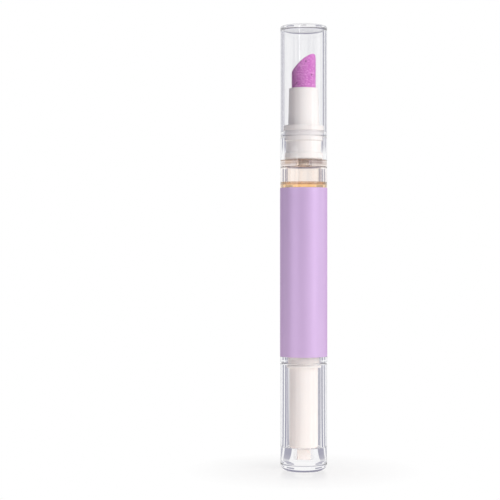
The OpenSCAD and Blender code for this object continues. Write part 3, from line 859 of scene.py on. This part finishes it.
def place_floor(scene, settings):
    """A pale satin floor that keeps the pen's shadow and reflection and fades into the white
    backdrop."""
    made, tree = new_material("Pale satin board")
    place = add(tree, "ShaderNodeTexCoord").outputs["Object"]
    away = add(tree, "ShaderNodeVectorMath", {0: place}, operation="LENGTH").outputs["Value"]
    far = between(tree, away, settings.floor_white, 1.0, 8 * MM, 36 * MM)
    cards = ring_of_cards(tree, place)
    grazed = add(tree, "ShaderNodeLayerWeight", {"Blend": 0.5}).outputs["Facing"]
    cards = times(tree, cards, between(tree, grazed, 0.0, 1.0, *GRAZING_RISE))
    cards = times(tree, cards, between(tree, away, 0.0, 1.0, *FLOOR_CARDS_RISE))
    # Beyond the knob's reach, only what the cap's flat top mirrors keeps its cards.
    mirrored = times(tree, between(tree, away, 1.0, 0.0, *MIRRORED_FADE),
                     between(tree, grazed, 0.0, 1.0, *MIRRORED_GRAZING))
    reach = add(tree, "ShaderNodeMath", {
        0: between(tree, away, 1.0, 0.0, *FLOOR_CARDS_FADE), 1: mirrored}, operation="MAXIMUM")
    cards = times(tree, cards, reach.outputs[0])
    # Painted shadow: to clear pieces the floor right under the pen is dark, which draws the base's
    # dark bottom outline.
    under = between(tree, away, 1.0, 0.0, 8.5 * MM, 10.5 * MM)
    dark = add(tree, "ShaderNodeMath", {0: cards, 1: under}, operation="MAXIMUM").outputs[0]
    dark = times(tree, dark, path_is(tree, "Transmission"))
    satin = between(tree, speckle(tree, 6.0), 0.16, 0.22)
    lit = add(tree, "ShaderNodeBsdfPrincipled", {
        "Base Color": linear("#FCFCFC"), "Roughness": satin})
    across = add(tree, "ShaderNodeSeparateXYZ", {0: place}).outputs[0]
    # For diffuse rays the floor near the pen glows as a warm soft light, stronger on the left,
    # which lights the pen from below.
    lit_side = between(tree, across, 1.6, 1.0, -30 * MM, 30 * MM)
    strength = add(tree, "ShaderNodeMix", {0: path_is(tree, "Diffuse"), 2: 1.0, 3: lit_side})
    bright = blended(tree, path_is(tree, "Diffuse"), (1, 1, 1, 1), linear("#FFF4EC"))
    white = add(tree, "ShaderNodeEmission", {
        "Color": blended(tree, dark, bright, settings.edge), "Strength": strength.outputs[0]})
    pool = times(tree, between(tree, away, 1.0, 0.0, 60 * MM, 150 * MM), path_is(tree, "Diffuse"))
    share = add(tree, "ShaderNodeMath", {
        0: pool, 1: times(tree, far, path_is(tree, "Camera", "Glossy", "Transmission"))})
    surface = add(tree, "ShaderNodeMixShader", {
        0: share.outputs[0], 1: lit.outputs[0], 2: white.outputs[0]})
    add(tree, "ShaderNodeOutputMaterial", {"Surface": surface.outputs[0]})
    mesh = bmesh.new()
    bmesh.ops.create_circle(mesh, cap_ends=True, radius=3, segments=64)
    data = bpy.data.meshes.new("Floor")
    mesh.to_mesh(data)
    mesh.free()
    data.materials.append(made)
    floor = bpy.data.objects.new("Floor", data)
    scene.collection.objects.link(floor)


def place_lamps(scene, settings):
    """A large soft lamp high on the right, and small ones that only add gloss: one on each side
    for the sleeve, and two above them for the cap."""
    middle = Vector((0, 0, CAD_BOX[1].z / 2))
    # Name, power, degrees to the right of the camera, then in metres how far away and how high it
    # stands and how wide and tall it is, and its tone.
    lamps = (
        ("Key", settings.key_power, 42, 0.65, 0.36, 0.6, 0.7, "#FFFDFA"),
        ("Side", settings.side_power, 52, 0.65, 0.06, 0.3, 0.26, "#FFFFFF"),
        ("Band", settings.band_power, 76, 0.65, 0.24, 0.18, 0.16, "#FFFFFF"),
        ("Strip", settings.strip_power, -49, 0.6, 0.045, 0.44, 0.19, "#FFFFFF"),
        ("Spark", settings.spark_power, -23, 0.6, 0.219, 0.05, 0.042, "#FFFFFF"),
    )
    for name, power, turn, away, height, width, tall, tone in lamps:
        data = bpy.data.lights.new(name, "AREA")
        data.shape = "RECTANGLE"
        data.size, data.size_y = width, tall
        data.energy = power
        data.color = linear(tone)[:3]
        lamp = bpy.data.objects.new(name, data)
        angle = math.radians(turn)
        lamp.visible_diffuse = name == "Key"
        lamp.visible_glossy = name != "Key"
        lamp.visible_transmission = False
        lamp.location = (away * math.sin(angle), -away * math.cos(angle), height)
        lamp.rotation_euler = (middle - lamp.location).to_track_quat("-Z", "Y").to_euler()
        scene.collection.objects.link(lamp)


def clear_plastic():
    """The clear plastic, made once for the three shells."""
    return (bpy.data.materials.get("Moulded clear SAN")
            or moulded_san(bpy.context.scene.nail_pen_colours))


def white_plastic():
    """The white plastic, made once for the holder, the core and the guide."""
    return (bpy.data.materials.get("Moulded white polypropylene")
            or moulded_polypropylene(bpy.context.scene.nail_pen_colours))


class NAILPEN_OT_knob(Operator):
    """Builds the clear knob with its thick base and key pocket"""

    bl_idname = "nail_pen.knob"
    bl_label = "Build the knob"

    def execute(self, context):
        s = context.scene.nail_pen_sizes
        floor = low_and_high("knob")[0] + s.knob_floor

        def pocket(radius, height, angle):
            if radius > s.key_r + 0.1 * MM or height > floor + NEAR:
                return radius
            return min(radius, s.key_flat / max(abs(math.sin(angle)), 1e-6))

        mesh = turned(knob_outline(s), s.segments, pocket)
        piece = made_piece("knob_shell", mesh, clear_plastic())
        stand_for(piece, "knob", "knob")
        return {"FINISHED"}


class NAILPEN_OT_barrel(Operator):
    """Builds the clear barrel with its oil chamber, web, socket and neck"""

    bl_idname = "nail_pen.barrel"
    bl_label = "Build the barrel"

    def execute(self, context):
        s = context.scene.nail_pen_sizes
        mesh = turned(barrel_outline(s), s.segments)
        panel_top = low_and_high("colour_sleeve")[1]
        web_high = low_and_high("barrel")[1] - s.socket_depth
        for face in mesh.faces:
            centre = face.calc_center_median()
            in_hole = centre.xy.length < s.web_hole_r + 0.1 * MM
            wet = panel_top < centre.z < web_high - NEAR and not in_hole
            in_joint = abs(centre.z - web_high) < NEAR
            # The face under the plug's end takes the oil film with its painted shade.
            face.material_index = 2 if in_joint else int(wet)
        colours = context.scene.nail_pen_colours
        wetted = oil_wetted_plastic(colours, web_high - 0.75 * s.web_t, web_high)
        piece = made_piece("barrel_shell", mesh, clear_plastic(), wetted, oil_and_shade_in_joint(colours))
        stand_for(piece, "barrel", "barrel")
        return {"FINISHED"}


class NAILPEN_OT_cap(Operator):
    """Builds the clear pull-off cap"""

    bl_idname = "nail_pen.cap"
    bl_label = "Build the cap"

    def execute(self, context):
        s = context.scene.nail_pen_sizes
        piece = made_piece("cap_shell", turned(cap_outline(s), s.segments), clear_plastic())
        stand_for(piece, "cap", "cap")
        return {"FINISHED"}


class NAILPEN_OT_holder(Operator):
    """Builds the white tip holder"""

    bl_idname = "nail_pen.holder"
    bl_label = "Build the tip holder"

    def execute(self, context):
        s = context.scene.nail_pen_sizes
        mesh = turned(holder_outline(s), s.segments)
        piece = made_piece("holder_moulding", mesh, white_plastic())
        stand_for(piece, "tip_holder", "barrel")
        return {"FINISHED"}


class NAILPEN_OT_sleeve(Operator):
    """Wraps the lavender sleeve, whose end laps over its start at the back"""

    bl_idname = "nail_pen.sleeve"
    bl_label = "Wrap the sleeve"

    def execute(self, context):
        s = context.scene.nail_pen_sizes
        inner = s.body_r - s.panel_sink + 0.03 * MM

        def wrapped(radius, height, angle):
            if radius < inner:
                return radius
            return radius - s.sleeve_lap * ((angle - math.pi / 2) % TURN) / TURN

        colours = context.scene.nail_pen_colours
        mesh = turned(sleeve_outline(s), s.segments, wrapped)
        for face in mesh.faces:
            face.material_index = int(face.calc_center_median().xy.length < inner)
        piece = made_piece("sleeve_wrap", mesh, satin_shrink_film(colours), film_back(colours))
        stand_for(piece, "colour_sleeve", "barrel")
        return {"FINISHED"}


class NAILPEN_OT_oil(Operator):
    """Fills the chamber with oil, on a mesh of its own"""

    bl_idname = "nail_pen.oil"
    bl_label = "Fill the oil"

    def execute(self, context):
        s = context.scene.nail_pen_sizes
        piece = made_piece("oil_fill", turned(oil_outline(s), s.segments),
                           refined_oil(context.scene.nail_pen_colours))
        stand_for(piece, "oil", "barrel")
        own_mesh(piece)
        return {"FINISHED"}


class NAILPEN_OT_foam(Operator):
    """Cuts the slanted foam tip with its fine pores"""

    bl_idname = "nail_pen.foam"
    bl_label = "Cut the foam tip"

    def execute(self, context):
        s = context.scene.nail_pen_sizes
        foam = cut_polyurethane_foam(context.scene.nail_pen_colours)
        piece = made_piece("foam_applicator", foam_mesh(s, FoamShape(s)), foam)
        stand_for(piece, "foam_tip", "barrel")
        return {"FINISHED"}


class NAILPEN_OT_drive(Operator):
    """Finishes the inner pieces of the drive, which keep their solids' shapes"""

    bl_idname = "nail_pen.drive"
    bl_label = "Finish the drive"

    def execute(self, context):
        c = context.scene.nail_pen_colours
        white = white_plastic()
        finishes = {
            "drive_core": white,
            "rod_guide": white,
            "click_ring": moulded_inner("Moulded grey acetal", c.ring, 0.32, 0.15, 0.05),
            "screw_rod": moulded_inner("Moulded natural nylon", c.rod, 0.38, 0.2, 0.2),
            "piston": moulded_inner("Moulded soft polyethylene", c.piston, 0.3, 0.25, 0.3),
        }
        for node, finish in finishes.items():
            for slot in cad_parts[node].material_slots:
                slot.material = finish
        return {"FINISHED"}


class NAILPEN_PT_panel(Panel):
    """Lists the pen's pieces, sizes and colours"""

    bl_idname = "NAILPEN_PT_panel"
    bl_label = "Nail Oil Pen"
    bl_space_type = "VIEW_3D"
    bl_region_type = "UI"
    bl_category = "Nail Pen"

    def draw(self, context):
        for step in STEPS:
            self.layout.operator(step.bl_idname)
        for group in GROUPS:
            box = self.layout.box()
            values = getattr(context.scene, group)
            for name in GROUPS[group].__annotations__:
                box.prop(values, name)


STEPS = (NAILPEN_OT_stage, NAILPEN_OT_knob, NAILPEN_OT_barrel, NAILPEN_OT_cap, NAILPEN_OT_holder,
         NAILPEN_OT_sleeve, NAILPEN_OT_oil, NAILPEN_OT_foam, NAILPEN_OT_drive)
GROUPS = {"nail_pen_sizes": PenSizes, "nail_pen_colours": PenColours,
          "nail_pen_stage": StageSettings}


def register():
    """Registers the classes and hangs the settings on the scene."""
    for made in (*GROUPS.values(), *STEPS, NAILPEN_PT_panel):
        bpy.utils.register_class(made)
    for name, group in GROUPS.items():
        setattr(bpy.types.Scene, name, PointerProperty(type=group))


def unregister():
    """Takes the settings and the classes away again."""
    for name in GROUPS:
        delattr(bpy.types.Scene, name)
    for made in (NAILPEN_PT_panel, *reversed(STEPS), *GROUPS.values()):
        bpy.utils.unregister_class(made)


def main():
    """Builds the whole pen."""
    register()
    bpy.ops.nail_pen.stage()
    bpy.ops.nail_pen.knob()
    bpy.ops.nail_pen.barrel()
    bpy.ops.nail_pen.cap()
    bpy.ops.nail_pen.holder()
    bpy.ops.nail_pen.sleeve()
    bpy.ops.nail_pen.oil()
    bpy.ops.nail_pen.foam()
    bpy.ops.nail_pen.drive()


if __name__ == "__main__":
    main()
